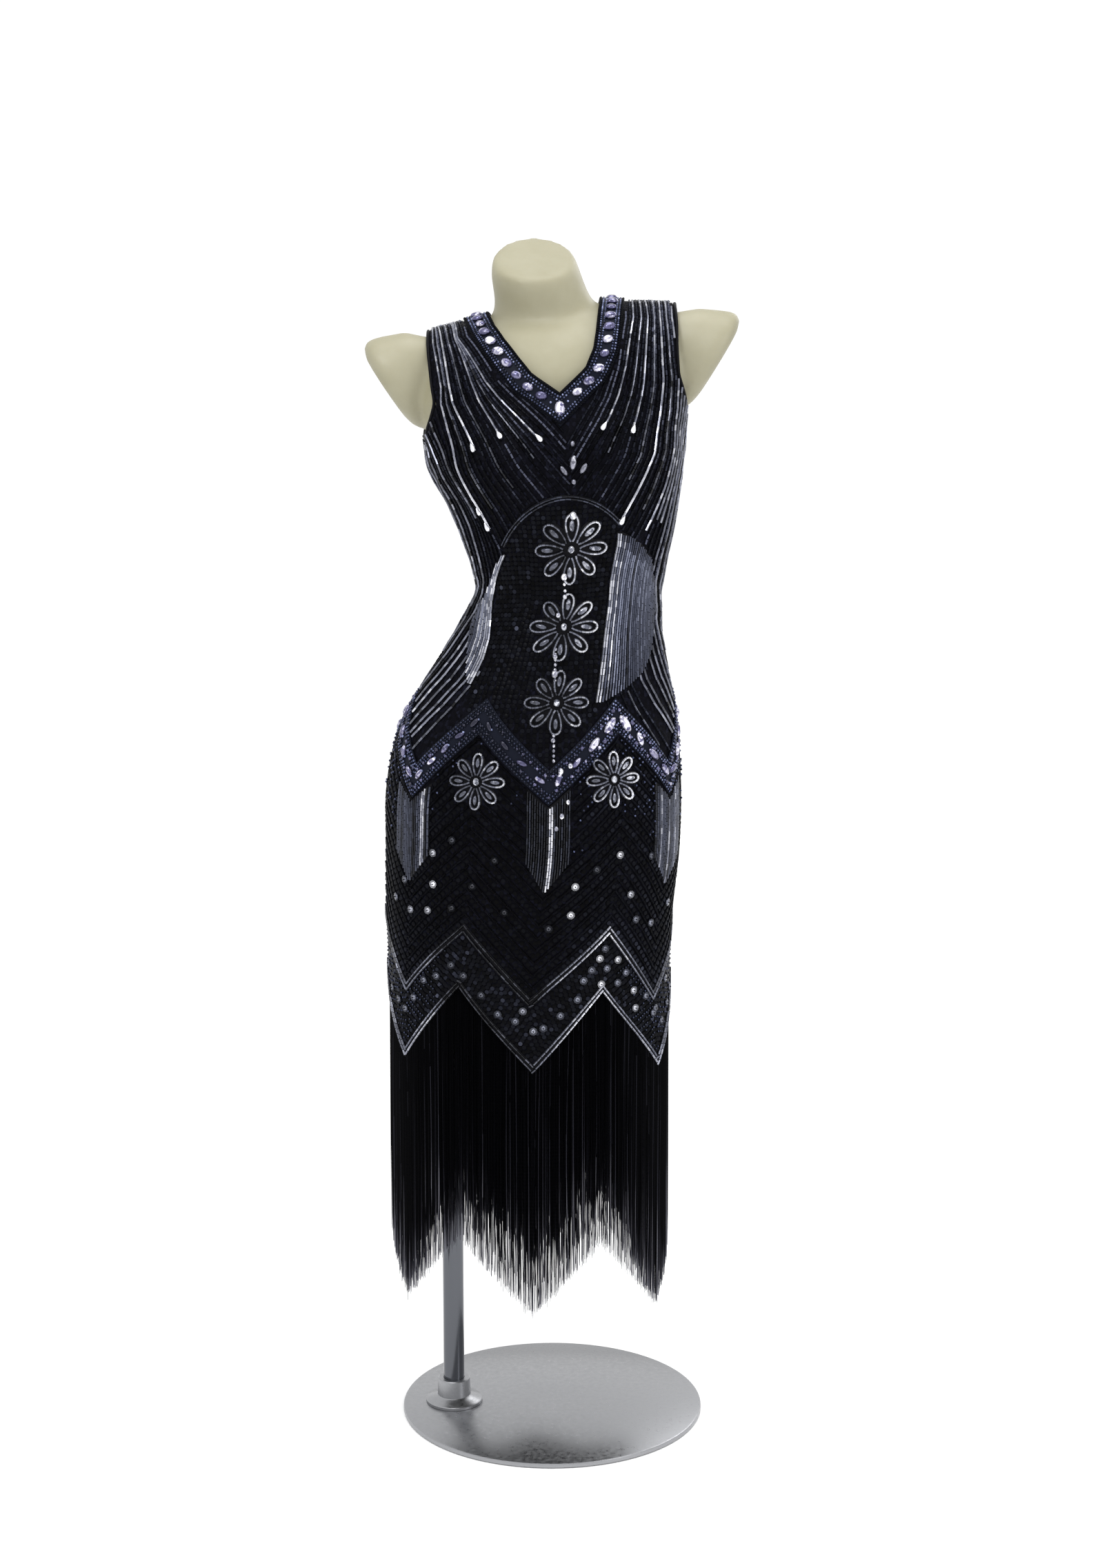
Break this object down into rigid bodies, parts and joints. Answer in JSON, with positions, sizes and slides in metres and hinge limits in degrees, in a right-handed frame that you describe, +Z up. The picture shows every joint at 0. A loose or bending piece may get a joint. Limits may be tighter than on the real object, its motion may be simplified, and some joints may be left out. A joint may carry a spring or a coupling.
{
  "type": "flapper dress on a limbless dress form and stand",
  "caption": "Sleeveless beaded flapper dress with a V neck, chevron hem and long fringe, worn by a limbless dress form on a pole with a round foot.",
  "frame": {"origin": "middle of the round foot's underside, on the surface that it stands on", "axes": "+Z up, the front of the dress faces -Y, +X to the right of someone who looks at its front"},
  "size_m": [0.418, 0.36, 1.3924],
  "materials": {
    "beaded_net": "black net closely sewn with sequins and beads",
    "bead_line": "silver-grey glass beads sewn in rows",
    "jewel_band": "navy beading with large faceted jewels",
    "bugle_beads": "grey bugle beads hung side by side",
    "fringe": "black silky cord fringe",
    "form_plastic": "ivory, smooth, half matt",
    "stand_steel": "satin",
    "pole_steel": "polished"
  },
  "bodies": {
    "root": {"front_panel": "beaded_net", "back_panel": "beaded_net", "armhole_binding_left": "beaded_net", "armhole_binding_right": "beaded_net", "neck_band_front": "jewel_band", "neck_band_back": "jewel_band", "girdle_front": "jewel_band", "girdle_back": "jewel_band", "hem_trim_front": "bead_line", "hem_trim_back": "bead_line", "chevron_trim_front": "bead_line", "chevron_trim_back": "bead_line", "under_bust_arch": "bead_line", "flower_centre_top": "bead_line", "flower_centre_middle": "bead_line", "flower_centre_low": "bead_line", "flower_hip_left": "bead_line", "flower_hip_right": "bead_line", "flower_back_hip_left": "bead_line", "flower_back_hip_right": "bead_line", "side_beads_front_left": "bugle_beads", "side_beads_front_right": "bugle_beads", "side_beads_back_left": "bugle_beads", "side_beads_back_right": "bugle_beads", "pendant_front_centre": "bugle_beads", "pendant_front_left": "bugle_beads", "pendant_front_right": "bugle_beads", "pendant_back_centre": "bugle_beads", "pendant_back_left": "bugle_beads", "pendant_back_right": "bugle_beads", "fringe_front": "fringe", "fringe_back": "fringe", "dress_form": "form_plastic", "form_flange": "stand_steel", "pole": "pole_steel", "foot_hub": "stand_steel", "foot_plate": "stand_steel"}
  },
  "joints": []
}
